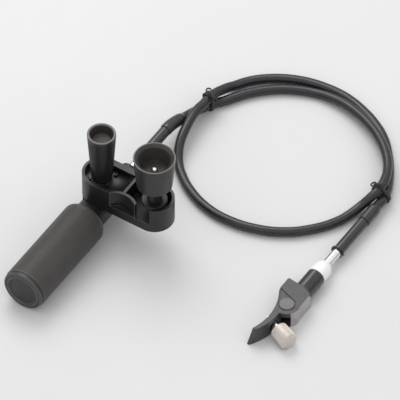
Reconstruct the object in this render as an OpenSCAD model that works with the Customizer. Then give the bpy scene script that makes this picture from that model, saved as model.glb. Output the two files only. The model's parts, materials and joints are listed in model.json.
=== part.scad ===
// Hand-held remote focus control: a twist grip on a cast clamp body turns a flexible
// shaft, and the shaft turns the drive gear of a small bracket that sits on a lens.
// Millimetres, +Z up, everything lies on the plane Z = 0. The grip axis and the lens
// drive axis are both parallel to Y, and the origin is the middle of the footprint.

/* [Grip] */
// Outer diameter of the rubber sleeve
grip_d = 42; // [40:0.5:44]
// Length of the rubber sleeve
sleeve_len = 100; // [95:1:105]
// Thickness of the rubber sleeve
rubber_t = 3; // [2:0.5:4]
// Diameter of the drive shaft
shaft_d = 8; // [8]

/* [Clamp body] */
// Distance between the two lobe centres
lobe_gap = 57; // [54:0.5:60]
// Radius of each lobe
lobe_r = 18.2; // [17:0.1:19]
// Height of the casting's underside above the table
body_z = 34.5; // [34.5:0.1:35]
// Thickness of the base plate
plate_t = 10; // [8:0.5:11]
// Height of the side walls above the base plate
wall_h = 17; // [16:0.5:18]
// Thickness of the front and end walls
wall_t = 2.5; // [2:0.1:3]
// Width of the bracket slot in the front of the clamp lobe
slot_w = 15.5; // [12:0.5:16]

/* [Knobs] */
// Height of the tall drag knob
drag_knob_h = 57; // [50:1:60]
// Top diameter of the tall drag knob
drag_knob_d = 26.4; // [25:0.1:27]
// Height of the clamp knob's cup
cup_h = 35; // [32:1:36]
// Top diameter of the clamp knob's cup
cup_d = 38.7; // [37:0.1:39]
// Height of the cup's underside above the table in its raised place
cup_z = 79.1; // [79:0.1:80]

/* [Cable] */
// Diameter of the cable's jacket
cable_d = 9; // [8:0.5:9]
// Diameter of the chromed end ferrules
ferrule_d = 9; // [8:0.5:9.5]

/* [Lens drive] */
// Height of the drive axis above the table
drive_z = 9; // [9:0.1:9.5]
// Height of the lens bracket
bracket_h = 18; // [17.5:0.5:19]
// Radius of the lens barrel that the saddle arm fits
saddle_r = 55; // [50:1:60]
// Tip radius of the gear that meets the lens's focus ring
gear_r = 10.4; // [10:0.1:10.6]
// Tip diameter of the thumb screw's head
thumb_d = 16.8; // [15:0.1:17]

/* [Hidden] */
$fn = 64;
eps = 0.05;

// Places of the two units
near_x = -106.3;
far_x = 99.3;
unit_y = -6;
grip_z = grip_d / 2;

// Grip, along Y from its end cap to its shoulder
shoulder_y = -26;
cap_t = 4;
cap_y = shoulder_y - sleeve_len - cap_t;
core_r = grip_d / 2 - rubber_t;
core_wall = 3;
round_r = 5;
shaft_r = shaft_d / 2;
badge_r = 13.5;
badge_t = 0.6;

// Neck, bearings and cable outlet on the grip axis
neck_r = 14.75;
neck_start = -25.6;
neck_end = 20;
bearing_r = 11;
bearing_w = 7;
bearing_y = [-21, 11];
run_gap = 0.05;
drum_r = 10;
drum_w = 12;
adapter_end = 46;
ferrule_len = 18;
near_step_y = 104;
sleeve_in_r = 5;
sleeve_out_r = 5.8;

// Clamp body heights
plate_top = body_z + plate_t;
wall_top = plate_top + wall_h;
dish_z = body_z + 19.5;
back_rim_y = 12;
ridge_x = 30.5;
flank_r = 22;
flank_x = 13;
scallop_r = 19.4;
scallop_c = [33.5, -32];
stud_r = 4;
stud_bottom = body_z + 1.5;
stud_top = cup_z + 16.4;
screw_spread = 8.9;

// Drag knob and brake, above the grip axis
knob_z = body_z + 21;
drag_screw_r = 3;
pad_r = 4.08;
pad_bottom = grip_z + drum_r + 0.8;
pad_top = 33.8;

// Clamp knob
cup_floor = 17;
cup_neck_r = 7;
cup_neck = 19.1;
washer_r = 12;

// Lens drive, local places measured from the drive axis
gear_y = -10;
barrel_r = 8.9;
barrel_y = [17, 39];
collar_end = 55;
far_ferrule_y = 73;
far_step_y = 118;
far_cable_y = 140;
plate_low = 13;
saddle_c = [-61, -30];
arm_c = [-56, -24];
arm_r = 56;
arm_tip = -57;
cap_r = 7.2;
cover_t = 1.8;
gear_z = 2.5;
gear_t = 3;
gear_teeth = 24;
crown_teeth = 30;
pinion_teeth = 10;
thumb_z = 8.5;
thumb_p = [6, -33];
thumb_a = -23.3;
thumb_r = thumb_d / 2;
thumb_len = 17.5;

// The cable's route, from the grip end to the lens end, in 1.5 loose turns
cable_route = [
    [-105.5, 124.5, 14], [-104.8, 133, 10.8], [-103.6, 142, 8], [-101.4, 150.5, 6.1],
    [-97.4, 159.3, 5.6], [-89, 171.5, 4.8], [-76.5, 190.5, 4.6], [-60, 207.2, 4.6],
    [-42.5, 218.2, 4.6], [-23, 225.4, 4.7], [-9.9, 226.7, 6.2], [4.5, 225.9, 7.6],
    [20.5, 222.2, 8.9], [38, 215.5, 10.3], [57, 204.3, 12.3], [75, 188.6, 13.8], [86, 173.2, 14.4],
    [91.8, 158.2, 15.8], [92.7, 146, 15.3], [90.6, 137.9, 12.6], [86.3, 128.3, 7.3], [82, 115, 5],
    [77.4, 103, 4.6], [61.9, 81, 4.6], [43.6, 65.5, 4.6], [21.3, 55, 4.6], [-5.6, 49.9, 4.6],
    [-30, 51.8, 4.6], [-54.9, 61.3, 4.6], [-72, 73, 4.9], [-80.4, 80.9, 6.2], [-85.9, 88.5, 9],
    [-90, 96.5, 12.2], [-92.8, 105.3, 15], [-94.7, 114.8, 16.8], [-97.1, 127.7, 17.6],
    [-98, 138.3, 17.2], [-97.6, 149.5, 16.2], [-97.9, 157.1, 15.6], [-97, 166.5, 14.4],
    [-95.2, 177.3, 11], [-93.6, 184.5, 8.4], [-91.2, 191.3, 5.9], [-86.3, 200.7, 4.7],
    [-79.7, 208.6, 4.6], [-69.6, 217.2, 4.6], [-58.8, 224.1, 4.6], [-47.3, 229.4, 4.6],
    [-35.1, 233.2, 4.6], [-22, 235.4, 4.6], [-7.7, 236.2, 4.6], [7.7, 234.6, 4.6], [23.9, 230, 4.6],
    [41, 222.6, 4.6], [57.5, 211.7, 4.6], [71.9, 196.5, 4.6], [83, 181.4, 4.6], [91.5, 166.5, 5.5],
    [95.9, 157, 6.4], [98.8, 147.5, 8], [99.3, 134, 9]];
cable_sides = 12;

// ---------- shared shapes ----------

module near() translate([near_x, unit_y, 0]) children();
module far() translate([far_x, unit_y, 0]) children();
module at_grip() near() translate([0, 0, grip_z]) children();
module at_drive() far() translate([0, 0, drive_z]) children();
module at_clamp() near() translate([lobe_gap, 0, 0]) children();
module at_gear() far() translate([0, gear_y, 0]) children();
module at_thumb() far() translate([thumb_p[0], thumb_p[1], thumb_z]) rotate([0, 0, thumb_a])
    children();

// A body of revolution along Y, from points of [radius, y]
module turned_y(points) rotate([-90, 0, 0]) rotate_extrude() polygon(points);

// A body of revolution along the local X, from points of [radius, x]
module turned_x(points) rotate([0, 90, 0]) rotate_extrude() polygon(points);

// A body of revolution along Z, from points of [radius, z]
module turned_z(points) rotate_extrude() polygon(points);

function ring(r0, r1, a, b) = [[r0, a], [r1, a], [r1, b], [r0, b]];
function arc(c, r, a0, a1, n) =
    [for (i = [0 : n]) c + r * [cos(a0 + (a1 - a0) * i / n), sin(a0 + (a1 - a0) * i / n)]];
function unit(v) = v / norm(v);

// Cap screw with its head upward, its head's seat at the local origin
module cap_head_screw(head_r, head_h, shank_r, shank_l) {
    difference() {
        cylinder(r = head_r, h = head_h);
        translate([0, 0, head_h - head_r * 0.5]) cylinder(r = head_r * 0.5, h = head_r, $fn = 6);
    }
    translate([0, 0, -shank_l]) cylinder(r = shank_r, h = shank_l);
}

// Deep-groove ball bearing along Y with its shields set back
module bearing(y) {
    turned_y([[shaft_r + run_gap, y], [5.6, y], [5.6, y + 0.5], [9.2, y + 0.5], [9.2, y],
        [bearing_r, y], [bearing_r, y + bearing_w], [9.2, y + bearing_w],
        [9.2, y + bearing_w - 0.5], [5.6, y + bearing_w - 0.5], [5.6, y + bearing_w],
        [shaft_r + run_gap, y + bearing_w]]);
}

// ---------- clamp body ----------

module stadium(r) {
    circle(r);
    translate([lobe_gap, 0]) circle(r);
    translate([0, -r]) square([lobe_gap, 2 * r]);
}

// The inside of the walls: thin in front and at the ends, thick at the back
module pocket_outline() {
    difference() {
        stadium(lobe_r - wall_t);
        translate(scallop_c) circle(scallop_r + wall_t);
        translate([-lobe_r, back_rim_y]) square([lobe_r + lobe_gap - 4, lobe_r]);
    }
}

// Dish round the drag knob, whose right flank rises to a ridge across the body
module drag_dish() {
    intersection() {
        translate([0, 0, dish_z]) linear_extrude(wall_h) pocket_outline();
        union() {
            translate([-lobe_r, -lobe_r, dish_z]) cube([lobe_r + flank_x, 2 * lobe_r, wall_h]);
            translate([flank_x, lobe_r, dish_z + flank_r]) rotate([90, 0, 0])
                cylinder(r = flank_r, h = 2 * lobe_r);
        }
    }
}

module clamp_recess() {
    intersection() {
        translate([0, 0, plate_top]) linear_extrude(wall_h + 1) pocket_outline();
        translate([ridge_x + 1.5, -lobe_r, body_z])
            cube([lobe_gap + lobe_r, 2 * lobe_r, plate_t + wall_h + 2]);
    }
}

module clamp_body() color([0.13, 0.13, 0.135]) near() {
    difference() {
        translate([0, 0, body_z]) linear_extrude(plate_t + wall_h) stadium(lobe_r);
        drag_dish();
        clamp_recess();
        // front slot that takes the mounting bracket
        translate([lobe_gap - 2 - slot_w / 2, -lobe_r - 1, plate_top])
            cube([slot_w, lobe_r - 8, wall_h + 1]);
        // concave waist in the front wall
        translate([scallop_c[0], scallop_c[1], plate_top]) cylinder(r = scallop_r, h = wall_h + 1);
        translate([0, 0, body_z - 1]) cylinder(r = drag_screw_r + 0.3, h = 40);
        translate([0, 0, dish_z - 12]) cylinder(r = 5, h = 30);
        translate([lobe_gap, 0, stud_bottom]) cylinder(r = stud_r, h = plate_t);
        for (x = [-screw_spread, screw_spread], y = [-screw_spread, screw_spread])
            translate([x, y, body_z - 1]) cylinder(r = 1.25, h = 30);
    }
    // low seat ring round the drag knob's foot
    translate([0, 0, dish_z]) turned_z(ring(9.8, 10.35, 0, 1.6));
}

module body_screws() color([0.2, 0.2, 0.2]) near()
    for (x = [-screw_spread, screw_spread], y = [-screw_spread, screw_spread])
        translate([x, y, dish_z]) cap_head_screw(2.2, 2.2, 1.25, dish_z - body_z + 4);

module drag_nut() color([0.75, 0.6, 0.3]) near()
    translate([0, 0, dish_z - 12]) turned_z(ring(drag_screw_r + run_gap, 5, 0, 12.4));

module clamp_stud() color([0.55, 0.55, 0.56]) at_clamp() difference() {
    translate([0, 0, stud_bottom]) cylinder(r = stud_r, h = stud_top - stud_bottom);
    translate([0, 0, stud_top - 9]) cylinder(r = 1.5, h = 10);
}

module stud_washer() color([0.2, 0.2, 0.2]) at_clamp()
    translate([0, 0, cup_z + cup_floor + 0.1]) turned_z(ring(1.6, 5.4, 0, 0.8));

// Round-head cross screw that keeps the clamp knob on its stud
module stud_screw() color([0.85, 0.85, 0.86]) at_clamp()
    translate([0, 0, cup_z + cup_floor + 0.9]) difference() {
        union() {
            turned_z(concat([[0, 0], [3.2, 0], [3.2, 0.6]], arc([0, 0.6], 3.2, 15, 90, 8)));
            translate([0, 0, -9]) cylinder(r = 1.5, h = 9);
        }
        for (a = [0, 90])
            rotate([0, 0, a]) translate([-1.8, -0.35, 2.2]) cube([3.6, 0.7, 4]);
    }

// ---------- neck and cable outlet ----------

module neck_housing() color([0.12, 0.12, 0.125]) near() difference() {
    union() {
        translate([0, 0, grip_z]) turned_y([[0, neck_start], [neck_r - 0.8, neck_start],
            [neck_r, neck_start + 0.8], [neck_r, neck_end], [0, neck_end]]);
        // seat under the clamp body
        translate([-12, -14, grip_z + 6]) cube([24, 28, body_z - grip_z - 6]);
    }
    translate([-neck_r, neck_start - 1, body_z]) cube([2 * neck_r, 50, 10]);
    translate([0, 0, grip_z]) turned_y([[0, neck_start - 1], [9, neck_start - 1],
        [9, bearing_y[0]], [bearing_r, bearing_y[0]], [bearing_r, neck_end + 1], [0, neck_end + 1]]);
    translate([0, 0, grip_z]) cylinder(r = pad_r + 0.07, h = 20);
    for (x = [-screw_spread, screw_spread], y = [-screw_spread, screw_spread])
        translate([x, y, body_z - 4]) cylinder(r = 1.25, h = 10);
    translate([-neck_r - 1, -5, grip_z + 5]) rotate([0, 90, 0]) cylinder(r = 1.2, h = 6);
    for (a = [90, 210, 330])
        translate([0, 0, grip_z]) rotate([0, a, 0]) translate([12.9, neck_end - 6, 0])
            rotate([-90, 0, 0]) cylinder(r = 0.9, h = 10);
}

// Small screw on the side of the neck
module housing_screw() color([0.1, 0.1, 0.1]) near()
    translate([-neck_r, -5, grip_z + 5]) rotate([0, -90, 0]) {
        translate([0, 0, 0.1]) cylinder(r = 2.1, h = 1.7);
        translate([0, 0, -2.9]) cylinder(r = 1.2, h = 3.1);
    }

module bearing_front() color([0.6, 0.6, 0.62]) at_grip() bearing(bearing_y[0]);
module bearing_rear() color([0.6, 0.6, 0.62]) at_grip() bearing(bearing_y[1]);

// Stepped cap that closes the neck and carries the cable's ferrule
module cable_adapter() color([0.14, 0.14, 0.145]) at_grip() difference() {
    turned_y([[5.2, neck_end], [neck_r, neck_end], [neck_r, neck_end + 3.2],
        [neck_r - 0.8, neck_end + 4], [10.8, neck_end + 4], [9.6, neck_end + 5.5], [9, neck_end + 8],
        [9, adapter_end - 1], [8.2, adapter_end], [3, adapter_end],
        [3, adapter_end - 2], [5.2, adapter_end - 2]]);
    for (a = [90, 210, 330])
        rotate([0, a, 0]) translate([12.9, neck_end - 1, 0])
            rotate([-90, 0, 0]) cylinder(r = 0.9, h = 10);
}

module adapter_screws() color([0.2, 0.2, 0.2]) at_grip()
    for (a = [90, 210, 330])
        rotate([0, a, 0]) translate([12.9, neck_end - 5, 0])
            rotate([-90, 0, 0]) {
                cylinder(r = 0.9, h = 9);
                translate([0, 0, 9]) cylinder(r = 1.6, h = 1.2);
            }

module ferrule(y, length) turned_y([[2.6, y], [ferrule_d / 2 - 0.4, y],
    [ferrule_d / 2, y + 0.4], [ferrule_d / 2, y + length - 0.4],
    [ferrule_d / 2 - 0.4, y + length], [2.6, y + length]]);

module ferrule_near() color([0.85, 0.85, 0.87]) at_grip() ferrule(adapter_end, ferrule_len);

// Moulded sleeves: a slim inner one, then a wider one that holds the jacket
module sleeve_inner(y0, y1, s) turned_y([[2.6, y0], [sleeve_in_r, y0], [sleeve_in_r + 0.2, y0 + s],
    [sleeve_in_r + 0.2, y1 - s], [sleeve_in_r - 0.2, y1], [2.6, y1]]);
module sleeve_outer(y0, y1, s) turned_y([[2.6, y0], [sleeve_out_r - 0.5, y0],
    [sleeve_out_r, y0 + s], [sleeve_out_r, y1 - 6 * s], [cable_d / 2 + 0.5, y1 - s],
    [cable_d / 2 + 0.3, y1], [2.6, y1]]);

module sleeve_near_inner() color([0.08, 0.08, 0.085]) at_grip()
    sleeve_inner(adapter_end + ferrule_len, near_step_y, 0.8);

// Bent boot that leads the jacket down from the grip axis to the table
module sleeve_near_outer() color([0.1, 0.1, 0.105]) {
    y = unit_y + near_step_y;
    tube([[near_x, y, grip_z], [near_x, y + 4, grip_z], [near_x, y + 8, grip_z - 0.7],
        [near_x + 0.2, y + 14, grip_z - 2.2], [near_x + 0.6, y + 20.5, grip_z - 4.4],
        cable_route[0]], sleeve_out_r, 24);
}

// ---------- grip and what turns with it ----------

module grip_sleeve() color([0.27, 0.26, 0.25]) at_grip()
    turned_y(concat([[core_r, cap_y + cap_t], [grip_d / 2 - 1.2, cap_y + cap_t]],
        [[grip_d / 2, cap_y + cap_t + 1.2], [grip_d / 2, shoulder_y - round_r]],
        arc([grip_d / 2 - round_r, shoulder_y - round_r], round_r, 10, 80, 6),
        [[core_r - 2, shoulder_y], [core_r - 2, shoulder_y - 0.8], [core_r, shoulder_y - 0.8]]));

module grip_core() color([0.5, 0.5, 0.52]) at_grip()
    turned_y([[shaft_r, shoulder_y - 7], [shaft_r, shoulder_y - 0.8], [core_r, shoulder_y - 0.8],
        [core_r, cap_y + cap_t], [core_r - core_wall, cap_y + cap_t],
        [core_r - core_wall, shoulder_y - 7]]);

// Moulded cap: a raised outer ring, a groove and a recess for the badge
module end_cap() color([0.16, 0.16, 0.16]) at_grip()
    turned_y([[2, cap_y + 1], [badge_r, cap_y + 1], [badge_r, cap_y], [15.6, cap_y],
        [15.6, cap_y + 0.6], [16.4, cap_y + 0.6], [16.4, cap_y], [grip_d / 2 - 1.8, cap_y],
        [grip_d / 2 - 0.8, cap_y + 1], [grip_d / 2 - 0.8, cap_y + cap_t],
        [core_r - core_wall, cap_y + cap_t],
        [core_r - core_wall, cap_y + 9], [core_r - core_wall - 2, cap_y + 9],
        [core_r - core_wall - 2, cap_y + cap_t], [2, cap_y + cap_t]]);

module end_badge() color([0.55, 0.55, 0.55]) at_grip()
    turned_y([[0, cap_y + 0.4], [badge_r - 0.6, cap_y + 0.4], [badge_r - 0.2, cap_y + 0.7],
        [badge_r - 0.2, cap_y + 1], [0, cap_y + 1]]);

// Screw and washer that hold the grip's flange on the end of the shaft
module hub_screw() color([0.4, 0.4, 0.4]) at_grip() turned_y([[0, shoulder_y - 12.5],
    [4, shoulder_y - 12.5], [4, shoulder_y - 8.5], [2, shoulder_y - 8.5], [2, shoulder_y + 3],
    [0, shoulder_y + 3]]);

module hub_washer() color([0.6, 0.6, 0.62]) at_grip()
    turned_y(ring(2, 7, shoulder_y - 8.5, shoulder_y - 7));

// Shaft from the grip's front flange to the cable, with a square socket for the core
module drive_shaft() color([0.62, 0.62, 0.64]) at_grip() difference() {
    turned_y([[2, shoulder_y - 7], [shaft_r, shoulder_y - 7],
        [shaft_r, adapter_end - 4.5], [shaft_r - 0.5, adapter_end - 4], [0, adapter_end - 4],
        [0, shoulder_y + 3], [2, shoulder_y + 3]]);
    translate([-1.6, adapter_end - 14, -1.6]) cube([3.2, 20, 3.2]);
    translate([0, 0, 5]) rotate([180, 0, 0]) cylinder(r = 1, h = 10);
}

module drag_drum() color([0.68, 0.55, 0.3]) at_grip() difference() {
    turned_y([[shaft_r, -drum_w / 2], [drum_r - 0.6, -drum_w / 2], [drum_r, 0.6 - drum_w / 2],
        [drum_r, drum_w / 2 - 0.6], [drum_r - 0.6, drum_w / 2], [shaft_r, drum_w / 2]]);
    translate([0, 0, -12]) cylinder(r = 1, h = 24);
}

// Pin that ties the drum to the shaft
module drum_pin() color([0.5, 0.5, 0.52]) at_grip() translate([0, 0, -9.2]) cylinder(r = 1, h = 13);

module shaft_spacers() color([0.6, 0.6, 0.62]) at_grip() {
    turned_y(ring(shaft_r, 5.4, bearing_y[0] + bearing_w + 0.2, -drum_w / 2));
    turned_y(ring(shaft_r, 5.4, drum_w / 2, bearing_y[1] - 0.2));
}

module shaft_circlip() color([0.4, 0.4, 0.42]) at_grip() difference() {
    turned_y(ring(shaft_r, 5.8, 18.3, 19.3));
    translate([-1.5, 17, 0]) cube([3, 4, 8]);
}

// Squared end of the cable's inner core, seated in the shaft
module core_tip_near() color([0.5, 0.5, 0.5]) at_grip() {
    translate([-1.5, adapter_end - 13.9, -1.5]) cube([3, 14, 3]);
    turned_y([[0, adapter_end], [2, adapter_end], [2, adapter_end + 15], [0, adapter_end + 15]]);
}

// ---------- drag brake ----------

// Plunger that the drag screw presses on the drum
module brake_pad() color([0.4, 0.25, 0.15]) near()
    translate([0, 0, pad_bottom]) cylinder(r = pad_r, h = pad_top - pad_bottom);

module drag_screw() color([0.6, 0.6, 0.62]) near()
    translate([0, 0, pad_top + 0.2]) cylinder(r = drag_screw_r, h = 40);

module drag_knob() color([0.11, 0.11, 0.115]) near() translate([0, 0, knob_z])
    turned_z([[drag_screw_r, 0], [8.9, 0], [9.6, 0.6], [11, drag_knob_h / 3],
        [drag_knob_d / 2, drag_knob_h - 0.8], [drag_knob_d / 2 - 0.7, drag_knob_h],
        [drag_knob_d / 2 - 2, drag_knob_h - 0.3], [drag_knob_d / 2 - 2.9, drag_knob_h - 2],
        [9, drag_knob_h - 9], [8, drag_knob_h - 10], [0, drag_knob_h - 10],
        [0, 20], [drag_screw_r, 20]]);

// ---------- clamp knob ----------

module clamp_washer() color([0.5, 0.5, 0.52]) at_clamp()
    translate([0, 0, cup_z - cup_neck - 3.3])
        turned_z([[stud_r + 0.2, 0], [washer_r - 0.5, 0], [washer_r, 0.5], [washer_r, 2.5],
            [washer_r - 0.5, 3], [stud_r + 0.2, 3]]);

module clamp_nut() color([0.75, 0.6, 0.3]) at_clamp()
    translate([0, 0, cup_z - cup_neck]) turned_z(ring(stud_r + run_gap, 5.5, 0, 14));

module clamp_knob() color([0.2, 0.2, 0.2]) at_clamp() translate([0, 0, cup_z])
    turned_z([[5.5, -cup_neck], [cup_neck_r - 0.5, -cup_neck], [cup_neck_r, 0.5 - cup_neck],
        [cup_neck_r, -1.5], [8.5, 0], [15.6, 0], [16.35, 0.8], [cup_d / 2, cup_h - 0.6],
        [cup_d / 2 - 0.5, cup_h], [cup_d / 2 - 1.2, cup_h - 0.1], [15, cup_h - 2.4],
        [14.6, cup_h - 3.2], [13.4, cup_floor + 1.5], [12, cup_floor],
        [stud_r + 0.1, cup_floor], [stud_r + 0.1, 14 - cup_neck], [5.5, 14 - cup_neck]]);

// ---------- flexible cable ----------

function tangent(p, i) = unit(p[min(i + 1, len(p) - 1)] - p[max(i - 1, 0)]);
function side_of(t) = unit(cross(t, [0, 0, 1]));
function ring_at(p, i, r, n) = let (t = tangent(p, i), s = side_of(t), u = cross(s, t))
    [for (k = [0 : n - 1]) p[i] + r * (cos(360 * k / n) * s + sin(360 * k / n) * u)];

// A tube swept along a route, one ring at each of its points
module tube(p, r, n) {
    points = [for (i = [0 : len(p) - 1]) each ring_at(p, i, r, n)];
    sides = [for (i = [0 : len(p) - 2], k = [0 : n - 1])
        [i * n + k, i * n + (k + 1) % n, (i + 1) * n + (k + 1) % n, (i + 1) * n + k]];
    ends = [[for (k = [n - 1 : -1 : 0]) k], [for (k = [0 : n - 1]) (len(p) - 1) * n + k]];
    polyhedron(points, concat(sides, ends), convexity = 10);
}

module flex_cable() color([0.14, 0.14, 0.155]) tube(cable_route, cable_d / 2, cable_sides);

// Twist tie round a lower strand and the one over it, with its twisted ends on top
module twist_tie(low, gap, turn, lean) translate(low) rotate([0, 0, turn]) rotate([0, lean, 0]) {
    rotate([90, 0, 0]) linear_extrude(2, center = true) difference() {
        tie_outline(cable_d / 2 + 1.1, gap);
        tie_outline(cable_d / 2 + 0.6, gap);
    }
    translate([0, 0, gap + cable_d / 2 + 1.7]) rotate([0, 90, 0]) cylinder(r = 0.9, h = 9);
}
module tie_outline(r, gap) {
    circle(r);
    translate([0, gap]) circle(r);
    translate([-r, 0]) square([2 * r, gap]);
}

module tie_near() color([0.08, 0.08, 0.08]) twist_tie([-98, 158.4, 5.9], 9.7, -16, 0);
module tie_far() color([0.08, 0.08, 0.08]) twist_tie([98.6, 148.3, 8.2], 9.1, 8, -39.6);

module sleeve_far_outer() color([0.1, 0.1, 0.105]) at_drive()
    sleeve_outer(far_step_y, far_cable_y, 0.8);
module sleeve_far_inner() color([0.08, 0.08, 0.085]) at_drive()
    sleeve_inner(far_ferrule_y, far_step_y, 0.8);

// Open spring ring at the sleeve's end
module sleeve_clip() color([0.1, 0.1, 0.1]) at_drive() difference() {
    turned_y(ring(sleeve_in_r + 0.25, 6.6, far_ferrule_y + 1, far_ferrule_y + 2.2));
    rotate([0, 35, 0]) translate([0, far_ferrule_y, -2]) cube([9, 4, 4]);
}

module ferrule_far() color([0.85, 0.85, 0.87]) at_drive()
    ferrule(collar_end, far_ferrule_y - collar_end);

module white_collar() color([0.9, 0.9, 0.89]) at_drive()
    turned_y([[2.6, barrel_y[1]], [barrel_r, barrel_y[1]], [barrel_r, barrel_y[1] + 11],
        [barrel_r - 0.6, barrel_y[1] + 12], [6.6, collar_end - 1], [5.8, collar_end],
        [2.6, collar_end]]);

module drive_barrel() color([0.08, 0.08, 0.085]) at_drive()
    turned_y([[5, barrel_y[0]], [barrel_r, barrel_y[0]], [barrel_r, barrel_y[1] - 1],
        [barrel_r - 1, barrel_y[1]], [2.6, barrel_y[1]], [2.6, barrel_y[1] - 4],
        [5, barrel_y[1] - 4]]);

// ---------- lens bracket ----------

module saddle_side() translate(saddle_c) circle(saddle_r, $fn = 180);

module plate_outline() {
    translate([0, gear_y]) circle(12.4);
    polygon([[-15.7, 4], [-15.7, 16.6], [-14.6, 17.4], [0.9, 15.4], [9.5, 12.2], [11.6, 9.6],
        [11.6, gear_y], [-12, gear_y]]);
}

// Gear case below the plate
module case_outline() {
    translate([0, gear_y]) circle(12);
    translate([-14.5, gear_y]) square([25.7, 22]);
}

// Cover seat in the bottom of the case
module cover_outline() {
    translate([0, gear_y]) circle(11.1);
    translate([-9.5, gear_y]) square([19, 20]);
}

// Arm whose inner edge is the arc of arm_r
module arm_outline() intersection() {
    translate(arm_c) circle(arm_r, $fn = 180);
    translate([-20, arm_tip]) square([30, gear_y - arm_tip]);
}

// Recess in the top: a round for the gear's cap that runs out to the saddle side
module cap_recess() {
    r = cap_r + 0.9;
    p = [-15, 3.5];
    d = norm(p - [0, gear_y]);
    a = atan2(p[1] - gear_y, p[0]);
    w = acos(r / d);
    translate([0, gear_y]) {
        circle(r);
        polygon([[0, 0], 0.98 * r * [cos(a + w), sin(a + w)], p - [0, gear_y],
            0.98 * r * [cos(a - w), sin(a - w)]]);
    }
}

module lens_bracket() color([0.34, 0.34, 0.345]) far() difference() {
    union() {
        translate([0, 0, plate_low]) linear_extrude(bracket_h - plate_low) plate_outline();
        linear_extrude(plate_low + 1) case_outline();
        linear_extrude(bracket_h) arm_outline();
        // boss that carries the drive barrel
        translate([0, 0, drive_z]) turned_y(ring(0, barrel_r, 10, barrel_y[0]));
    }
    translate([saddle_c[0], saddle_c[1], -1]) cylinder(r = saddle_r, h = bracket_h + 2, $fn = 180);
    // sloped end of the arm
    translate([-40, arm_tip + 0.4, -1]) rotate([-17.3, 0, 0]) translate([0, -20, -1])
        cube([60, 20, 30]);
    // the recess and the cap's seat in the top plate
    translate([0, 0, bracket_h - 1]) linear_extrude(5) cap_recess();
    translate([0, gear_y, gear_z + gear_t]) cylinder(r = 5.5, h = bracket_h);
    // room for the lens gear, open in front and towards the saddle
    translate([0, gear_y, -1]) cylinder(r = gear_r + 0.35, h = gear_z + gear_t + 3.2);
    translate([0.6, gear_y - 20, cover_t]) cube([8.6, 15, plate_low - cover_t]);
    translate([0, 0, -1]) linear_extrude(cover_t + 1) cover_outline();
    // room for the input pinion and its shaft
    translate([-4.2, gear_y, gear_z + gear_t]) cube([8.4, 14, 7]);
    translate([0, 0, drive_z]) turned_y(ring(0, 5, 4, 30));
    for (x = [-7, 7])
        translate([x, 7.5, 0]) cylinder(r = 0.8, h = 7);
    // hole and flat seat for the thumb screw
    translate([thumb_p[0], thumb_p[1], thumb_z]) rotate([0, 0, thumb_a]) {
        translate([-30, 0, 0]) rotate([0, 90, 0]) cylinder(r = 2.6, h = 40);
        translate([-8, 0, 0]) rotate([0, 90, 0]) cylinder(r = 5.6, h = 30);
    }
}

// Soft facing on the saddle arm's tip
module saddle_pad() color([0.12, 0.12, 0.12]) far() translate([0, 0, 2]) linear_extrude(14)
    intersection() {
        difference() {
            saddle_side();
            translate(saddle_c) circle(saddle_r - 0.8, $fn = 180);
        }
        translate([-20, -50]) square([30, 15]);
    }

// Round cap over the gear, with the boss that holds the axle's upper end
module gear_cap() color([0.62, 0.6, 0.61]) at_gear() difference() {
    union() {
        translate([0, 0, bracket_h - 1]) turned_z([[0, 0], [cap_r, 0], [cap_r, 1.1],
            [cap_r - 0.5, 1.6], [0, 1.6]]);
        translate([0, 0, plate_low - 0.5]) cylinder(r = 5.5, h = bracket_h - plate_low - 0.5);
    }
    translate([0, 0, plate_low - 1]) cylinder(r = 2, h = 3.4);
}

// Cover let into the bottom of the gear case
module base_cover() color([0.3, 0.3, 0.31]) far() difference() {
    linear_extrude(cover_t) difference() {
        cover_outline();
        saddle_side();
    }
    translate([0, gear_y, -1]) cylinder(r = 2, h = 10);
    for (x = [-7, 7])
        translate([x, 7.5, -1]) {
            cylinder(r = 0.8, h = 10);
            cylinder(r = 1.6, h = 2.1);
        }
}

module base_screws() color([0.3, 0.3, 0.3]) far()
    for (x = [-7, 7])
        translate([x, 7.5, 1.1]) {
            cylinder(r = 0.8, h = 5.5);
            translate([0, 0, -0.9]) cylinder(r = 1.6, h = 0.9);
        }

module input_bush(y) turned_y(ring(2 + run_gap, 5, y, y + 4));
module input_bush_near() color([0.75, 0.6, 0.3]) at_drive() input_bush(25);
module input_bush_far() color([0.75, 0.6, 0.3]) at_drive() input_bush(4.5);

// ---------- gears of the lens drive ----------

function tooth(n, root, tip, half_root, half_tip, i) =
    [for (q = [[root, -half_root], [tip, -half_tip], [tip, half_tip], [root, half_root]])
        q[0] * [cos(360 * i / n + q[1]), sin(360 * i / n + q[1])]];
module toothed_disc(n, root, tip, half_root, half_tip)
    polygon([for (i = [0 : n - 1]) each tooth(n, root, tip, half_root, half_tip, i)]);

module input_shaft() color([0.62, 0.62, 0.64]) at_drive() difference() {
    turned_y([[0, -2.8], [2, -2.8], [2, 35], [0, 35]]);
    translate([-0.8, 27, -0.8]) cube([1.6, 10, 1.6]);
}

// Small pinion whose lowest tooth points straight down into the crown
module input_pinion() color([0.7, 0.57, 0.3]) at_drive() rotate([90, 0, 0])
    translate([0, 0, 0.7]) linear_extrude(2) difference() {
        rotate([0, 0, -90]) toothed_disc(pinion_teeth, 2.4, 3.2, 8, 5);
        circle(2);
    }

module core_tip_far() color([0.5, 0.5, 0.5]) at_drive() {
    translate([-0.75, 27.2, -0.75]) cube([1.5, 9, 1.5]);
    turned_y([[0, 36.2], [2, 36.2], [2, 60], [0, 60]]);
}

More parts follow.
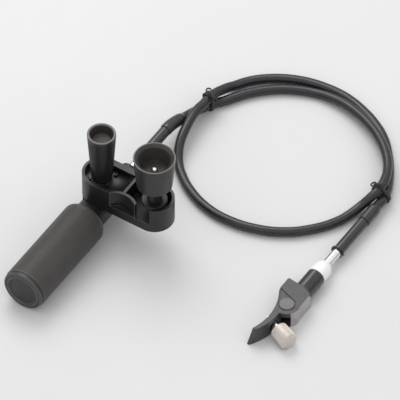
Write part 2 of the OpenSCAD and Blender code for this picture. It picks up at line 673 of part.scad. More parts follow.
// Spur gear for the lens ring with crown teeth on its upper face
module lens_gear() color([0.25, 0.22, 0.2]) at_gear() difference() {
    union() {
        translate([0, 0, gear_z]) linear_extrude(gear_t)
            toothed_disc(gear_teeth, gear_r - 1.7, gear_r, 5, 2.2);
        translate([0, 0, gear_z]) cylinder(r = 4.2, h = 9.5);
        for (i = [0 : crown_teeth - 1])
            rotate([0, 0, 90 + 360 * (i + 0.5) / crown_teeth])
                translate([7, -0.3, gear_z + gear_t - eps]) cube([2.4, 0.6, 1.1 + eps]);
    }
    translate([0, 0, -1]) cylinder(r = 2 + run_gap, h = 20);
}

module gear_axle() color([0.62, 0.62, 0.64]) at_gear()
    translate([0, 0, 0.4]) cylinder(r = 2, h = 15);

// ---------- captive thumb screw ----------

module thumb_head() color([0.9, 0.88, 0.84]) at_thumb() turned_x([[2.5, 0], [thumb_r - 1.2, 0],
    [thumb_r, 1.2], [thumb_r, thumb_len - 1.2], [thumb_r - 1.2, thumb_len], [2.5, thumb_len]]);

// Stud with its plain collar; the threaded end stands out of the saddle
module thumb_stud() color([0.8, 0.8, 0.82]) at_thumb() turned_x([[0, -17.3], [2.1, -17.3],
    [2.5, -16.9], [2.5, -13.6], [2.3, -13.5], [2.3, -7.1], [4, -7.1], [4, 0], [2.5, 0], [2.5, thumb_len - 0.3], [0, thumb_len - 0.3]]);

module thumb_washer() color([0.2, 0.2, 0.2]) at_thumb()
    turned_x(ring(2.3 + run_gap, 5, -7.7, -7.1));

clamp_body();
neck_housing();
body_screws();
housing_screw();
drag_nut();
bearing_front();
bearing_rear();
cable_adapter();
adapter_screws();
ferrule_near();
sleeve_near_inner();
sleeve_near_outer();
clamp_stud();
stud_washer();
stud_screw();
grip_sleeve();
grip_core();
end_cap();
end_badge();
hub_screw();
hub_washer();
drive_shaft();
drag_drum();
drum_pin();
shaft_spacers();
shaft_circlip();
core_tip_near();
brake_pad();
drag_knob();
drag_screw();
clamp_washer();
clamp_knob();
clamp_nut();
flex_cable();
tie_near();
tie_far();
sleeve_far_outer();
sleeve_far_inner();
sleeve_clip();
ferrule_far();
white_collar();
drive_barrel();
lens_bracket();
saddle_pad();
gear_cap();
base_cover();
base_screws();
input_bush_near();
input_bush_far();
input_shaft();
input_pinion();
core_tip_far();
lens_gear();
gear_axle();
thumb_head();
thumb_stud();
thumb_washer();
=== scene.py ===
"""Looks of a remote focus control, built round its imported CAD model. All lengths are in metres."""
import json
import math

import bmesh
import bpy
from mathutils import Matrix, Vector


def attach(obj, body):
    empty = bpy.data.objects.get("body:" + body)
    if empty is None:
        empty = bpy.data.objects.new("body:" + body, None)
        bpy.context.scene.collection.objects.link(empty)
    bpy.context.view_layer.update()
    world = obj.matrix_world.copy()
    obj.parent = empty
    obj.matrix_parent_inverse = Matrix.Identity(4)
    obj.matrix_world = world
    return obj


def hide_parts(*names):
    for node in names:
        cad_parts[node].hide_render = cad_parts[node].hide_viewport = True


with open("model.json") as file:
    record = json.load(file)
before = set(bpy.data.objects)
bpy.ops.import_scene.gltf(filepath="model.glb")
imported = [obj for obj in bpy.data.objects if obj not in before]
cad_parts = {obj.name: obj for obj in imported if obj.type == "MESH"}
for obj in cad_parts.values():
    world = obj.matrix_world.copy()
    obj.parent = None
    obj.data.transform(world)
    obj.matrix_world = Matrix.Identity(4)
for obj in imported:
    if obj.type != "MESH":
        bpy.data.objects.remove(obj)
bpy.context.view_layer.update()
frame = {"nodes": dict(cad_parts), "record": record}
nodes = frame["nodes"]
MM = 0.001

# ---------------------------------------------------------------- camera

VIEW_AZIMUTH = 33.2
VIEW_ELEVATION = 48.0
VIEW_DISTANCE = 9.0
VIEW_WIDTH = 0.3636
VIEW_AIM = Vector((-0.0436, 0.0599, 0.0))


def view_vectors(azimuth, elevation):
    """Unit vectors of a view: the way it looks, its right and its up."""
    az, el = math.radians(azimuth), math.radians(elevation)
    look = Vector((-math.sin(az) * math.cos(el), math.cos(az) * math.cos(el), -math.sin(el)))
    right = Vector((math.cos(az), math.sin(az), 0.0))
    return look, right, right.cross(look)


def make_camera():
    """Nearly parallel view from above the table."""
    look, right, up = view_vectors(VIEW_AZIMUTH, VIEW_ELEVATION)
    data = bpy.data.cameras.new("camera")
    data.angle = 2 * math.atan(VIEW_WIDTH / 2 / VIEW_DISTANCE)
    data.clip_end = 40.0
    camera = bpy.data.objects.new("camera", data)
    turn = Matrix((right, up, -look)).transposed().to_4x4()
    camera.matrix_world = Matrix.Translation(VIEW_AIM - look * VIEW_DISTANCE) @ turn
    bpy.context.scene.collection.objects.link(camera)
    bpy.context.scene.camera = camera


# ---------------------------------------------------------------- materials

class Shader:
    """A Principled material with short calls for its procedural detail."""

    def __init__(self, name, rough, metallic=0.0):
        self.material = bpy.data.materials.new(name)
        self.material.use_nodes = True
        self.tree = self.material.node_tree
        self.bsdf = self.tree.nodes["Principled BSDF"]
        self.bsdf.inputs["Metallic"].default_value = metallic
        self.bsdf.inputs["Roughness"].default_value = rough
        self.place = self.node("ShaderNodeTexCoord").outputs["Object"]
        self.normal = None

    def node(self, kind, **values):
        made = self.tree.nodes.new(kind)
        for key, value in values.items():
            setattr(made, key, value)
        return made

    def link(self, a, b):
        self.tree.links.new(a, b)

    def set(self, **values):
        for key, value in values.items():
            self.bsdf.inputs[key.replace("_", " ")].default_value = value
        return self

    def noise(self, scale, detail=4.0, rough=0.55, stretch=(1, 1, 1)):
        """A noise value from 0 to 1, whose grains are 1 / scale metres across."""
        mapping = self.node("ShaderNodeMapping")
        mapping.inputs["Scale"].default_value = stretch
        self.link(self.place, mapping.inputs["Vector"])
        texture = self.node("ShaderNodeTexNoise")
        texture.inputs["Scale"].default_value = scale
        texture.inputs["Detail"].default_value = detail
        texture.inputs["Roughness"].default_value = rough
        self.link(mapping.outputs["Vector"], texture.inputs["Vector"])
        return texture.outputs["Fac"]

    def spread(self, value, low, high, start=0.3, end=0.7):
        """value from start to end, spread over low to high."""
        ranged = self.node("ShaderNodeMapRange")
        for key, number in zip(("From Min", "From Max", "To Min", "To Max"), (start, end, low, high)):
            ranged.inputs[key].default_value = number
        self.link(value, ranged.inputs["Value"])
        return ranged.outputs["Result"]

    def ramp(self, value, *stops):
        made = self.node("ShaderNodeValToRGB")
        first, last = stops[0], stops[-1]
        elements = made.color_ramp.elements
        elements[0].position, elements[0].color = first[0], (*first[1], 1)
        elements[1].position, elements[1].color = last[0], (*last[1], 1)
        for position, colour in stops[1:-1]:
            elements.new(position).color = (*colour, 1)
        self.link(value, made.inputs["Fac"])
        return made.outputs["Color"]

    def colour(self, value, *stops):
        self.link(self.ramp(value, *stops), self.bsdf.inputs["Base Color"])
        return self

    def roughness(self, value, low, high):
        self.link(self.spread(value, low, high), self.bsdf.inputs["Roughness"])
        return self

    def bump(self, value, depth, strength=1.0):
        """Relief of that depth in metres, added to what is there."""
        made = self.node("ShaderNodeBump")
        made.inputs["Distance"].default_value = depth
        made.inputs["Strength"].default_value = strength
        self.link(value, made.inputs["Height"])
        if self.normal:
            self.link(self.normal, made.inputs["Normal"])
        self.normal = made.outputs["Normal"]
        self.link(self.normal, self.bsdf.inputs["Normal"])
        return self


def shade(colour, factor):
    return tuple(min(1.0, c * factor) for c in colour)


def coated_casting():
    s = Shader("coated_casting", 0.36)
    black = (0.011, 0.0108, 0.011)
    s.colour(s.noise(130, 5), (0.3, shade(black, 0.75)), (0.7, shade(black, 1.35)))
    s.roughness(s.noise(900, 3), 0.3, 0.42)
    s.bump(s.noise(2600, 3), 0.00005, 0.5)
    s.bump(s.noise(350, 4), 0.00008, 0.25)
    return s.set(Specular_IOR_Level=0.42).material


def satin_knob():
    s = Shader("satin_knob", 0.42)
    black = (0.019, 0.0185, 0.018)
    s.colour(s.noise(160, 4), (0.3, shade(black, 0.85)), (0.7, shade(black, 1.2)))
    s.roughness(s.noise(700, 3), 0.36, 0.48)
    s.bump(s.noise(3500, 2), 0.00003, 0.4)
    return s.set(Specular_IOR_Level=0.5).material


def cup_inside():
    s = Shader("cup_inside", 0.5)
    brown = (0.034, 0.029, 0.026)
    s.colour(s.noise(120, 4), (0.3, shade(brown, 0.8)), (0.7, shade(brown, 1.3)))
    s.roughness(s.noise(600, 3), 0.4, 0.6)
    s.bump(s.noise(2500, 3), 0.00005, 0.4)
    return s.material


def grip_rubber():
    s = Shader("grip_rubber", 0.7)
    dark = (0.052, 0.048, 0.046)
    worn = s.noise(45, 4)
    s.colour(worn, (0.3, shade(dark, 0.9)), (0.7, shade(dark, 1.12)))
    s.roughness(s.noise(300, 4), 0.44, 0.58)
    s.bump(s.noise(4200, 3), 0.00006, 0.6)
    return s.set(Sheen_Weight=0.12, Sheen_Roughness=0.5, Specular_IOR_Level=0.55).material


def cable_jacket():
    s = Shader("cable_jacket", 0.4)
    black = (0.014, 0.014, 0.017)
    s.colour(s.noise(90, 4), (0.3, shade(black, 0.8)), (0.7, shade(black, 1.3)))
    s.roughness(s.noise(400, 4), 0.24, 0.35)
    s.bump(s.noise(2400, 3), 0.00006, 0.4)
    return s.set(Specular_IOR_Level=0.55).material


def gloss_sleeve():
    s = Shader("gloss_sleeve", 0.3)
    black = (0.012, 0.012, 0.0125)
    s.colour(s.noise(140, 3), (0.3, shade(black, 0.8)), (0.7, shade(black, 1.4)))
    s.roughness(s.noise(500, 3), 0.26, 0.34)
    s.bump(s.noise(1500, 2), 0.00003, 0.3)
    return s.set(Coat_Weight=0.4, Coat_Roughness=0.12).material


def chrome():
    s = Shader("chrome", 0.08, 1.0)
    s.colour(s.noise(220, 3), (0.3, (0.74, 0.74, 0.75)), (0.7, (0.86, 0.86, 0.87)))
    s.roughness(s.noise(900, 3, stretch=(1, 0.1, 1)), 0.05, 0.12)
    s.bump(s.noise(1200, 2, stretch=(1, 0.08, 1)), 0.00001, 0.3)
    return s.material


def white_plastic():
    s = Shader("white_plastic", 0.35)
    s.colour(s.noise(80, 4), (0.3, (0.88, 0.878, 0.87)), (0.7, (0.92, 0.918, 0.91)))
    s.roughness(s.noise(600, 3), 0.28, 0.42)
    s.bump(s.noise(2600, 2), 0.00003, 0.3)
    return s.set(Subsurface_Weight=0.05, Subsurface_Radius=(0.002, 0.002, 0.002)).material


def anodised_grey():
    s = Shader("anodised_grey", 0.42, 0.15)
    grey = (0.062, 0.06, 0.061)
    s.colour(s.noise(150, 4), (0.3, shade(grey, 0.9)), (0.7, shade(grey, 1.12)))
    s.roughness(s.noise(800, 3), 0.34, 0.46)
    s.bump(s.noise(3800, 3), 0.00004, 0.5)
    return s.material


def turned_metal(name, colour, rough=0.3, metallic=1.0):
    """Machined metal with fine tool marks; the same recipe also gives the flat greys used as painted
    highlights, painted glare and painted shade.
    """
    s = Shader(name, rough, metallic)
    s.colour(s.noise(180, 3), (0.3, shade(colour, 0.88)), (0.7, shade(colour, 1.1)))
    s.roughness(s.noise(1000, 3, stretch=(1, 6, 1)), rough * 0.8, rough * 1.25)
    s.bump(s.noise(1800, 3, stretch=(1, 8, 1)), 0.00002, 0.4)
    return s.material


def tie_plastic():
    s = Shader("tie_plastic", 0.5)
    s.colour(s.noise(500, 3), (0.3, (0.02, 0.02, 0.02)), (0.7, (0.04, 0.04, 0.042)))
    s.bump(s.noise(3000, 2), 0.00005, 0.5)
    return s.material


def pale_floor():
    s = Shader("pale_floor", 0.65)
    s.colour(s.noise(3, 3), (0.3, (0.68, 0.68, 0.683)), (0.7, (0.7, 0.7, 0.703)))
    s.roughness(s.noise(40, 3), 0.6, 0.7)
    return s.material


# ---------------------------------------------------------------- mesh helpers

def add_object(name, mesh, *materials):
    made = bpy.data.objects.new(name, mesh)
    for material in materials:
        made.data.materials.append(material)
    bpy.context.scene.collection.objects.link(made)
    return made


def mark_shading(bm, angle=38.0):
    """Smooth faces, with creases where the surface turns by more than angle."""
    limit = math.radians(angle)
    for face in bm.faces:
        face.smooth = True
    for edge in bm.edges:
        if len(edge.link_faces) == 2:
            edge.smooth = edge.calc_face_angle(0.0) < limit


def finish_mesh(bm, name, *materials):
    bmesh.ops.recalc_face_normals(bm, faces=bm.faces)
    mark_shading(bm)
    mesh = bpy.data.meshes.new(name)
    bm.to_mesh(mesh)
    bm.free()
    return add_object(name, mesh, *materials)


def apply_modifiers(piece):
    """Puts what the modifiers make into the mesh itself."""
    graph = bpy.context.evaluated_depsgraph_get()
    mesh = bpy.data.meshes.new_from_object(piece.evaluated_get(graph))
    piece.modifiers.clear()
    piece.data = mesh
    return piece


def round_edges(piece, width, segments, angle, slot=-1):
    """Rounds the edges that turn by more than angle, width millimetres wide, in the slot's material."""
    rounding = piece.modifiers.new("bevel", "BEVEL")
    rounding.width = width * MM
    rounding.segments = segments
    rounding.limit_method = "ANGLE"
    rounding.angle_limit = math.radians(angle)
    rounding.harden_normals = True
    rounding.material = slot
    apply_modifiers(piece)


def stands_for(piece, *names):
    """piece is shown in place of those CAD nodes, and moves as the first of them."""
    body = next(b for b, members in frame["record"]["behaviour"]["bodies"].items() if names[0] in members)
    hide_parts(*names)
    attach(piece, body)
    return piece


def refine(node, *materials, bevel=0.3, segments=2, angle=32.0):
    """A cleaned copy of a CAD node with rounded edges, bevel millimetres wide, in the last material."""
    bm = bmesh.new()
    bm.from_mesh(nodes[node].data)
    bmesh.ops.remove_doubles(bm, verts=bm.verts, dist=2e-6)
    bmesh.ops.dissolve_limit(bm, angle_limit=math.radians(0.4), verts=bm.verts, edges=bm.edges)
    piece = finish_mesh(bm, node + "_shown", *materials)
    round_edges(piece, bevel, segments, angle, len(materials) - 1)
    return stands_for(piece, node)


def lathe(name, profile, count, place, *materials, wave=None, loop=False):
    """A turned piece along the local Z. The profile's entries are radius, height, relief and material
    slot in millimetres, and wave gives each spoke's share of the relief."""
    bm = bmesh.new()
    rings = []
    for radius, height, *rest in profile:
        relief = rest[0] if rest else 0.0
        if radius == 0:
            rings.append([bm.verts.new((0, 0, height * MM))] * count)
            continue
        ring = []
        for k in range(count):
            r = (radius - (relief * wave(k) if relief else 0.0)) * MM
            angle = 2 * math.pi * k / count
            ring.append(bm.verts.new((r * math.cos(angle), r * math.sin(angle), height * MM)))
        rings.append(ring)
    pairs = list(zip(rings, rings[1:] + rings[:1])) if loop else list(zip(rings, rings[1:]))
    for i, (low, high) in enumerate(pairs):
        for k in range(count):
            corners = [low[k], low[(k + 1) % count], high[(k + 1) % count], high[k]]
            face = bm.faces.new(list(dict.fromkeys(corners)))
            face.material_index = profile[i][3] if len(profile[i]) > 3 else 0
    piece = finish_mesh(bm, name, *materials)
    piece.matrix_world = place
    return piece


def smooth_line(points, steps=6):
    """Points of one smooth line through the given ones."""
    given = [Vector(p) for p in points]
    given = [2 * given[0] - given[1]] + given + [2 * given[-1] - given[-2]]
    line = []
    for a, b, c, d in zip(given, given[1:], given[2:], given[3:]):
        for i in range(steps):
            t = i / steps
            line.append(0.5 * (2 * b + (c - a) * t + (2 * a - 5 * b + 4 * c - d) * t * t
                               + (3 * b - a - 3 * c + d) * t ** 3))
    return line + [given[-2]]


def sweep(bm, line, radius, sides=12):
    """A capped tube along a line in millimetres; radius is a number or a function of 0 to 1."""
    side = None
    rings = []
    for i, point in enumerate(line):
        along = (line[min(i + 1, len(line) - 1)] - line[max(i - 1, 0)]).normalized()
        side = side or along.orthogonal().normalized()
        side = (side - along * side.dot(along)).normalized()
        up = along.cross(side)
        r = radius(i / (len(line) - 1)) if callable(radius) else radius
        ring = []
        for k in range(sides):
            angle = 2 * math.pi * k / sides
            ring.append(bm.verts.new((point + r * (math.cos(angle) * side + math.sin(angle) * up)) * MM))
        rings.append(ring)
    for low, high in zip(rings, rings[1:]):
        for k in range(sides):
            bm.faces.new((low[k], low[(k + 1) % sides], high[(k + 1) % sides], high[k]))
    bm.faces.new(rings[0][::-1])
    bm.faces.new(rings[-1])


make_camera()

finishes = {
    "casting": coated_casting(),
    "knob": satin_knob(),
    "cup": cup_inside(),
    "rubber": grip_rubber(),
    "cable": cable_jacket(),
    "gloss": gloss_sleeve(),
    "chrome": chrome(),
    "white": white_plastic(),
    "anodised": anodised_grey(),
    "steel": turned_metal("turned_steel", (0.5, 0.5, 0.51)),
    "black_steel": turned_metal("black_steel", (0.012, 0.012, 0.013), 0.4, 0.2),
    "brass": turned_metal("turned_brass", (0.62, 0.45, 0.2)),
    "gear": turned_metal("gear_steel", (0.06, 0.054, 0.05), 0.42, 0.7),
    # Grey of the gear cap, also used as painted highlight on the end cap's bevel faces.
    "cap": turned_metal("cap_metal_and_painted_highlight", (0.15, 0.142, 0.146), 0.45, 0.2),
    "badge": turned_metal("badge_metal", (0.03, 0.03, 0.031), 0.36, 0.3),
    "thumb": turned_metal("thumb_metal", (0.66, 0.6, 0.55), 0.38, 0.35),
    # Light grey for the casting's bevel faces: painted highlight along its edges.
    "painted_highlight_casting_edge": turned_metal("painted_highlight_casting_edge", (0.33, 0.32, 0.31), 0.34, 0.3),
    # Lighter grey for the bracket's bevel faces: painted highlight along its edges.
    "painted_highlight_anodised_edge": turned_metal("painted_highlight_anodised_edge", (0.2, 0.195, 0.19), 0.36, 0.3),
    # Lighter grey for the knobs' rounded rims: painted highlight.
    "rim": turned_metal("knob_rim_painted_highlight", (0.15, 0.145, 0.14), 0.34, 0.2),
    # Near black for the pocket under the clamp knob: painted shade.
    "pocket": turned_metal("pocket_shade", (0.004, 0.004, 0.004), 0.6, 0.0),
    # Light grey for the bracket's right wall: painted glare.
    "painted_glare_wall": turned_metal("painted_glare_wall", (0.42, 0.41, 0.4), 0.34, 0.3),
    "tie": tie_plastic(),
    "pad": grip_rubber(),
}

NODE_FINISH = {
    "casting": ["clamp_body", "neck_housing", "cable_adapter", "body_screws"],
    "knob": ["drag_knob", "clamp_knob", "end_cap"],
    "rubber": ["grip_sleeve"],
    "cable": ["flex_cable"],
    "gloss": ["sleeve_near_inner", "sleeve_near_outer", "sleeve_far_inner", "sleeve_far_outer",
              "drive_barrel", "sleeve_clip"],
    "chrome": ["ferrule_near", "ferrule_far", "stud_screw", "thumb_stud"],
    "white": ["white_collar"],
    "anodised": ["lens_bracket", "base_cover"],
    "steel": ["bearing_front", "bearing_rear", "clamp_stud", "drive_shaft", "shaft_spacers", "hub_washer",
              "drum_pin", "input_shaft", "gear_axle", "drag_screw", "core_tip_near",
              "core_tip_far", "grip_core"],
    "black_steel": ["clamp_washer", "housing_screw", "adapter_screws", "shaft_circlip", "hub_screw",
                    "base_screws", "stud_washer", "thumb_washer"],
    "brass": ["drag_nut", "clamp_nut", "input_bush_near", "input_bush_far", "drag_drum", "input_pinion"],
    "gear": ["lens_gear"],
    "cap": ["gear_cap"],
    "badge": ["end_badge"],
    "thumb": ["thumb_head"],
    "tie": ["tie_near", "tie_far"],
    "pad": ["saddle_pad", "brake_pad"],
}

# ---------------------------------------------------------------- cable

CABLE_D = 9 * MM
CABLE_ROUTE = [
    (-105.5, 124.5, 14), (-104.8, 133, 10.8), (-103.6, 142, 8), (-101.4, 150.5, 6.1), (-97.4, 159.3, 5.6),
    (-89, 171.5, 4.8), (-76.5, 190.5, 4.6), (-60, 207.2, 4.6), (-42.5, 218.2, 4.6), (-23, 225.4, 4.7),
    (-9.9, 226.7, 6.2), (4.5, 225.9, 7.6), (20.5, 222.2, 8.9), (38, 215.5, 10.3), (57, 204.3, 12.3),
    (75, 188.6, 13.8), (86, 173.2, 14.4), (91.8, 158.2, 15.8), (92.7, 146, 15.3), (90.6, 137.9, 12.6),
    (86.3, 128.3, 7.3), (82, 115, 5), (77.4, 103, 4.6), (61.9, 81, 4.6), (43.6, 65.5, 4.6), (21.3, 55, 4.6),
    (-5.6, 49.9, 4.6), (-30, 51.8, 4.6), (-54.9, 61.3, 4.6), (-72, 73, 4.9), (-80.4, 80.9, 6.2),
    (-85.9, 88.5, 9), (-90, 96.5, 12.2), (-92.8, 105.3, 15), (-94.7, 114.8, 16.8), (-97.1, 127.7, 17.6),
    (-98, 138.3, 17.2), (-97.6, 149.5, 16.2), (-97.9, 157.1, 15.6), (-97, 166.5, 14.4), (-95.2, 177.3, 11),
    (-93.6, 184.5, 8.4), (-91.2, 191.3, 5.9), (-86.3, 200.7, 4.7), (-79.7, 208.6, 4.6), (-69.6, 217.2, 4.6),
    (-58.8, 224.1, 4.6), (-47.3, 229.4, 4.6), (-35.1, 233.2, 4.6), (-22, 235.4, 4.6), (-7.7, 236.2, 4.6),
    (7.7, 234.6, 4.6), (23.9, 230, 4.6), (41, 222.6, 4.6), (57.5, 211.7, 4.6), (71.9, 196.5, 4.6),
    (83, 181.4, 4.6), (91.5, 166.5, 5.5), (95.9, 157, 6.4), (98.8, 147.5, 8), (99.3, 134, 9)]



def make_cable():
    """The jacket, on one smooth line through the route's points."""
    curve = bpy.data.curves.new("cable_jacket_tube", "CURVE")
    curve.dimensions = "3D"
    curve.bevel_depth = CABLE_D / 2
    curve.bevel_resolution = 7
    curve.resolution_u = 10
    curve.use_fill_caps = True
    spline = curve.splines.new("BEZIER")
    spline.bezier_points.add(len(CABLE_ROUTE) - 1)
    for point, place in zip(spline.bezier_points, CABLE_ROUTE):
        point.co = Vector(place) * MM
        point.handle_left_type = point.handle_right_type = "AUTO"
    cable = add_object("cable_jacket_tube", curve, finishes["cable"])
    stands_for(cable, "flex_cable")
    ties = [make_tie("tie_near", (-98, 158.4, 5.9), 9.7, -16, 0),
            make_tie("tie_far", (98.6, 148.3, 8.2), 9.1, 8, -39.6)]


def make_tie(name, low, gap, turn, lean):
    """Twist tie round a strand and the one above it: three wraps, a twisted knot, a loop and two tails."""
    bm = bmesh.new()
    reach, steps = 5.35, 40
    for shift, skew in ((-1.7, 0.9), (0.1, 0.6), (1.7, -0.8)):
        wrap = []
        for k in range(steps + 1):
            angle = 2 * math.pi * k / steps
            across, up = math.sin(angle), math.cos(angle)
            rise = gap if up > 0 else 0.0
            wrap.append((reach * across, shift + skew * across, rise + reach * up))
        sweep(bm, smooth_line(wrap, 2), 0.85, 10)
    top = gap + reach + 0.9
    strand, turns = 0.85, 2.5
    for phase in (0.0, math.pi):
        knot = []
        for k in range(25):
            angle = 2 * math.pi * turns * k / 24 + phase
            along = 8.2 * k / 24 - 0.5
            droop = 0.03 * along ** 2
            knot.append((along, strand * math.sin(angle), top - droop + strand * math.cos(angle)))
        sweep(bm, smooth_line(knot, 2), strand, 8)
    sweep(bm, smooth_line([(7.2, 0.5, top - 1.6), (9.4, 2.2, top - 3.4), (11.6, 3.2, top - 6.2),
                           (13.4, 2.6, top - 8.4)]), 0.7, 8)
    sweep(bm, smooth_line([(0, -0.6, top - 0.3), (-3.1, -0.8, top + 0.5), (-4.6, 1.4, top + 0.8),
                           (-3.4, 3.6, top + 0.6), (-0.6, 3.4, top - 0.2), (1.2, 1.0, top - 0.4)]), 0.75, 8)
    piece = finish_mesh(bm, name + "_wire", finishes["tie"])
    piece.matrix_world = (Matrix.Translation(Vector(low) * MM) @ Matrix.Rotation(math.radians(turn), 4, "Z")
                          @ Matrix.Rotation(math.radians(lean), 4, "Y"))
    return stands_for(piece, name)


make_cable()

# ---------------------------------------------------------------- CAD pieces with finer edges

for finish, names in NODE_FINISH.items():
    for name in names:
        data = nodes[name].data
        data.materials.clear()
        data.materials.append(finishes[finish])

for name in ("neck_housing", "cable_adapter"):
    refine(name, finishes["casting"], bevel=0.35, segments=3)

# ---------------------------------------------------------------- finer pieces

NEAR_X = -106.3
CLAMP_X = -49.3
FAR_X = 99.3
UNIT_Y = -6.0
GRIP_Z = 21.0


def at(x, y, z):
    return Matrix.Translation(Vector((x, y, z)) * MM)


def along_y(x, y, z):
    """Place of a piece whose local Z runs along +Y."""
    return at(x, y, z) @ Matrix.Rotation(math.radians(-90), 4, "X")


def ribs(per_rib, low):
    """Relief of evenly spaced ribs: per_rib spokes each, the last low ones in the groove."""
    return lambda k: 1.0 if k % per_rib >= per_rib - low else 0.0


def in_slot(slot, *points):
    """Entries of a lathe profile whose faces take the material of that slot."""
    return [(radius, height, 0, slot) for radius, height in points]


def make_grip():
    """Rubber sleeve with a fine pattern of squares and a round shoulder."""
    radius, groove, pitch = 21.0, 0.3, 1.72
    squares_round, spokes_each = 76, 5
    start, shoulder, curve = -126.0, -26.0, 5.0
    bore, neck = 18.0, 14.9
    profile = [(bore, start), (19.9, start), (20.7, start + 0.35), (radius, start + 1.2),
               (radius, start + 2.0)]
    row = start + 2.2
    while row + pitch < shoulder - 6.5:
        profile += [(radius - groove, row), (radius - groove, row + 0.34), (radius, row + 0.44, groove),
                    (radius, row + pitch - 0.1, groove)]
        row += pitch
    profile += [(radius - groove, row), (radius - groove, row + 0.34), (radius, row + 0.44)]
    for k in range(13):
        angle = math.radians(90 * k / 12)
        profile.append((radius + curve * (math.cos(angle) - 1), shoulder + curve * (math.sin(angle) - 1)))
    profile += [(neck, shoulder), (neck, shoulder - 0.8), (bore, shoulder - 0.8)]
    sleeve = lathe("grip_rubber_sleeve", profile, squares_round * spokes_each,
                   along_y(NEAR_X, UNIT_Y, GRIP_Z), finishes["rubber"], wave=ribs(spokes_each, 1), loop=True)
    stands_for(sleeve, "grip_sleeve")


def make_drag_knob():
    """Tall knob with fine ribs under a rim in lighter grey, a painted highlight, and a dished top."""
    foot = [(0, 0), (8.7, 0), (9.1, 0.15), (9.55, 0.7), (9.6, 1.6), (9.75, 2.2)]
    ribbed = [(radius, height, 0.4) for radius, height in ((9.8, 2.6), (11, 19), (13.05, 52.6))]
    collar = [(13.1, 53.0), (13.2, 53.4)]
    # Slot 2 is the lighter rim finish: painted highlight along the rounded top edge.
    rim = in_slot(2, (13.2, 56.1), (13.05, 56.6), (12.7, 56.9), (12.3, 57), (11.5, 56.85))
    dish = in_slot(1, (10.9, 56.3), (10.3, 55), (9.2, 48.6), (8.8, 47.5), (8, 47))
    ribs_round, spokes_each = 57, 6
    knob = lathe("drag_knob_ribbed", foot + ribbed + collar + rim + dish + [(0, 47)],
                 ribs_round * spokes_each, at(NEAR_X, UNIT_Y, 55.5), finishes["knob"], finishes["cup"],
                 finishes["rim"], wave=ribs(spokes_each, 2))
    stands_for(knob, "drag_knob")


def make_clamp_knob():
    """Smooth cup with a bevelled rim in lighter grey, a painted highlight; its inside is brown-black."""
    outside = [(5.5, -19.1), (6.6, -19.1), (7, -18.7), (7, -1.5), (8.5, 0), (15.6, 0), (16.35, 0.8),
               (19.33, 34.2)]
    # Slot 2 is the lighter rim finish: painted highlight along the rounded top edge.
    rim = in_slot(2, (19.35, 34.5), (19.1, 34.85), (18.85, 35), (18.3, 34.95))
    inside = in_slot(1, (18.05, 34.8), (15.1, 32.7), (14.6, 31.8), (13.4, 18.5), (12, 17), (4.1, 17))
    knob = lathe("clamp_knob_cup", outside + rim + inside + [(4.1, -5.1), (5.5, -5.1)], 128,
                 at(CLAMP_X, UNIT_Y, 79.1), finishes["knob"], finishes["cup"], finishes["rim"], loop=True)
    stands_for(knob, "clamp_knob")


def make_thumb_head():
    """Cream knurled head of the captive screw."""
    joint = next(j for j in frame["record"]["behaviour"]["joints"] if j["name"] == "thumb_turn")
    turn = Vector(joint["axis"]).to_track_quat("Z", "Y").to_matrix().to_4x4()
    rows = [(0, 0), (6.9, 0), (7.8, 0.1), (8.3, 0.5), (8.4, 0.9, 0.5), (8.4, 16.6, 0.5), (8.3, 17.0),
            (7.8, 17.4), (6.9, 17.5), (0, 17.5)]
    head = lathe("thumb_head_knurled", rows, 48 * 4, Matrix.Translation(joint["pos_m"]) @ turn,
                 finishes["thumb"], wave=ribs(4, 1))
    stands_for(head, "thumb_head")


def make_boot():
    """Moulded boot that bends down to the table and ends in a short taper."""
    route = smooth_line([(NEAR_X, 98, GRIP_Z), (NEAR_X, 102, GRIP_Z), (NEAR_X, 106, 20.3),
                         (NEAR_X + 0.2, 112, 18.8), (NEAR_X + 0.6, 118.5, 16.6), CABLE_ROUTE[0]], 5)
    bead, full, taper, taper_start = 0.5, 5.8, 0.9, 0.84

    def radius(share):
        end = max(0.0, (share - taper_start) / (1 - taper_start))
        return full - bead * (1 - min(1.0, share * 30)) - taper * end ** 2

    bm = bmesh.new()
    sweep(bm, route, radius, 32)
    stands_for(finish_mesh(bm, "boot_near", finishes["gloss"]), "sleeve_near_outer")


def make_clamp_body():
    """Casting with painted highlights on its rounded edges and painted shade in the pocket under the clamp
    knob.
    """
    # The bevel faces take light grey: painted highlight along the casting's edges.
    body = refine("clamp_body", finishes["casting"], finishes["painted_highlight_casting_edge"], bevel=0.6, segments=3)
    body.data.materials.append(finishes["pocket"])
    lobe_gap, ridge, wall_inside = CLAMP_X - NEAR_X, 32.5, 15.9
    # Faces inside the pocket under the clamp knob take near black: painted shade where the knob shades them.
    for face in body.data.polygons:
        x, y, z = face.center / MM - Vector((NEAR_X, UNIT_Y, 0))
        reach = math.hypot(max(0.0, x - lobe_gap), y)
        if x > ridge and reach < wall_inside and 44.3 < z < 61.3:
            face.material_index = 2


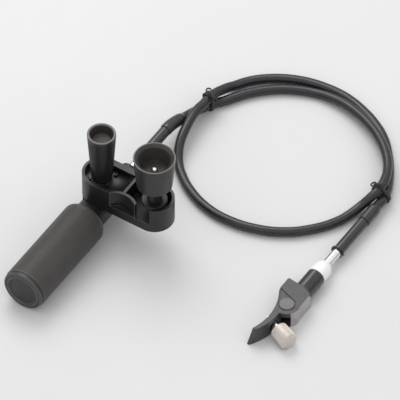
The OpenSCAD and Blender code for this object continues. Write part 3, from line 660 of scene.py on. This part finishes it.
def make_bracket():
    """Bracket with painted highlights on its rounded edges and painted glare on its wall on the side away
    from the saddle.
    """
    # The bevel faces take a lighter grey: painted highlight along the bracket's edges.
    bracket = refine("lens_bracket", finishes["anodised"], finishes["painted_highlight_anodised_edge"], bevel=0.25)
    bracket.data.materials.append(finishes["painted_glare_wall"])
    # Faces of the right wall take light grey: painted glare.
    for face in bracket.data.polygons:
        x, y, z = face.center / MM - Vector((FAR_X, UNIT_Y, 0))
        if face.normal.x > 0.75 and x > 9 and face.material_index == 0:
            face.material_index = 2


make_clamp_body()
make_bracket()
make_grip()
make_drag_knob()
make_clamp_knob()
make_thumb_head()
make_boot()

for name in ("white_collar", "drive_barrel", "gear_cap"):
    refine(name, nodes[name].data.materials[0], bevel=0.2, segments=3)
# The end cap's bevel faces take the lighter cap finish: painted highlight round its edge.
refine("end_cap", finishes["knob"], finishes["cap"], bevel=0.35, segments=3)
refine("end_badge", finishes["badge"], bevel=0.18, segments=3)

# ---------------------------------------------------------------- stage


def make_floor():
    """Pale table, a hair under the lowest pieces."""
    bm = bmesh.new()
    bmesh.ops.create_grid(bm, x_segments=8, y_segments=8, size=3.0)
    floor = finish_mesh(bm, "floor", pale_floor())
    floor.location.z = -0.0002


def area_light(name, place, aim, size, power, colour=(1, 1, 1)):
    data = bpy.data.lights.new(name, "AREA")
    data.shape = "DISK"
    data.size = size
    data.energy = power
    data.color = colour
    lamp = bpy.data.objects.new(name, data)
    direction = Vector(aim) - Vector(place)
    lamp.rotation_euler = direction.to_track_quat("-Z", "Y").to_euler()
    lamp.location = place
    bpy.context.scene.collection.objects.link(lamp)


def make_lights():
    """An even white sky that is dimmer near the horizon, and a soft key light from the upper left."""
    world = bpy.data.worlds.new("studio")
    world.use_nodes = True
    tree = world.node_tree
    place = tree.nodes.new("ShaderNodeTexCoord").outputs["Generated"]
    split = tree.nodes.new("ShaderNodeSeparateXYZ")
    tree.links.new(place, split.inputs["Vector"])
    ramp = tree.nodes.new("ShaderNodeValToRGB")
    horizon, sky = ramp.color_ramp.elements
    horizon.position, horizon.color = 0.05, (0.25, 0.25, 0.25, 1)
    sky.position, sky.color = 0.55, (1, 1, 1, 1)
    tree.links.new(split.outputs["Z"], ramp.inputs["Fac"])
    tree.links.new(ramp.outputs["Color"], tree.nodes["Background"].inputs["Color"])
    tree.nodes["Background"].inputs["Strength"].default_value = 1.0
    bpy.context.scene.world = world
    bpy.context.scene.view_settings.view_transform = "Standard"
    area_light("key", (-0.9, 0.7, 1.6), (0, 0.05, 0), 1.3, 13.5)


make_floor()
make_lights()
